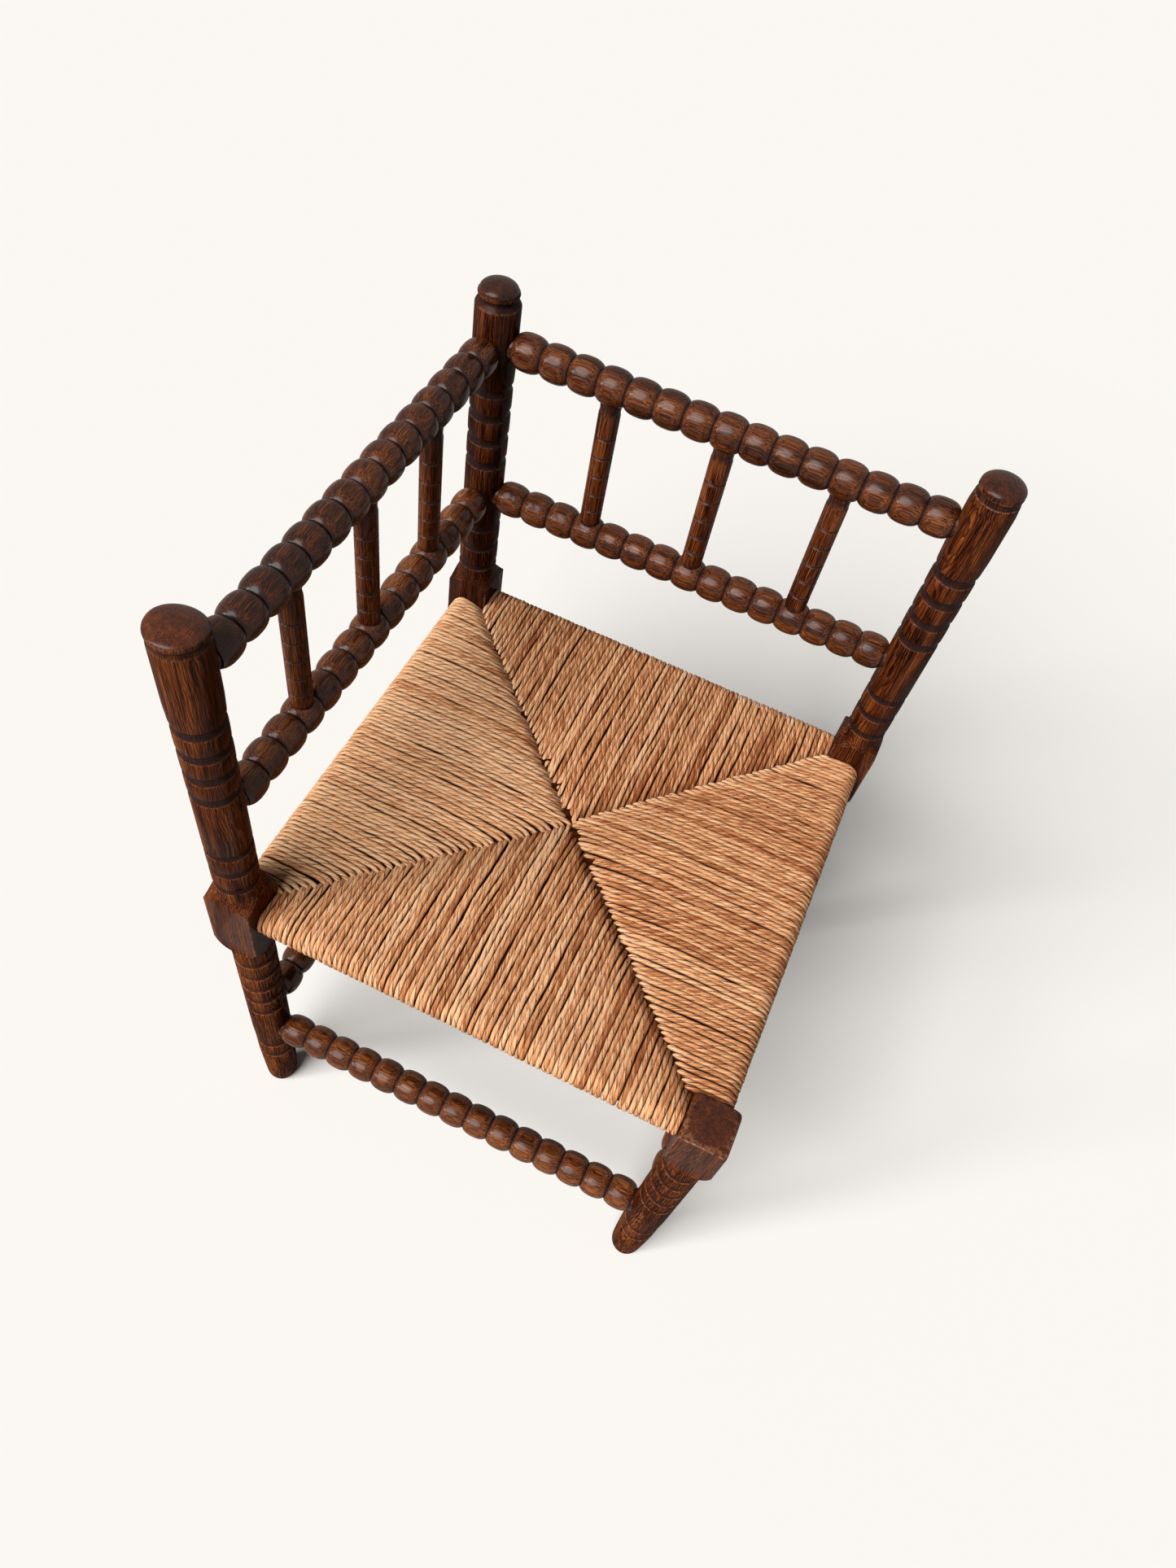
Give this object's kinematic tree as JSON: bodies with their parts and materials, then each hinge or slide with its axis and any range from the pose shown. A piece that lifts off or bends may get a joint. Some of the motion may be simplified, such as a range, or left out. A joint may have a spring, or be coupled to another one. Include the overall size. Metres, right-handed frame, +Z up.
{
  "type": "corner chair",
  "caption": "Low square-seated corner chair with beaded rails on two adjacent sides, ringed posts with square blocks, turned spindles, beaded stretchers and a woven rush seat.",
  "frame": {"origin": "on the floor under the middle of the square that the four post axes make", "axes": "+Z up, +X along the back side from the corner post to the right post, +Y from the left post to the corner post"},
  "size_m": [0.4668, 0.4644, 0.7445],
  "materials": {
    "stained_oak": "satin",
    "plain_beech": "matte",
    "rush": "matte"
  },
  "bodies": {
    "root": {"post_left": "stained_oak", "post_back": "stained_oak", "post_right": "stained_oak", "post_front": "stained_oak", "top_rail_back": "stained_oak", "top_rail_left": "stained_oak", "lower_rail_back": "stained_oak", "lower_rail_left": "stained_oak", "stretcher_back": "stained_oak", "stretcher_front": "stained_oak", "stretcher_left": "stained_oak", "stretcher_right": "stained_oak", "spindle_back_1": "stained_oak", "spindle_back_2": "stained_oak", "spindle_back_3": "stained_oak", "spindle_left_1": "stained_oak", "spindle_left_2": "stained_oak", "spindle_left_3": "stained_oak", "seat_rail_back": "plain_beech", "seat_rail_front": "plain_beech", "seat_rail_left": "plain_beech", "seat_rail_right": "plain_beech", "rush_seat": "rush"}
  },
  "joints": []
}
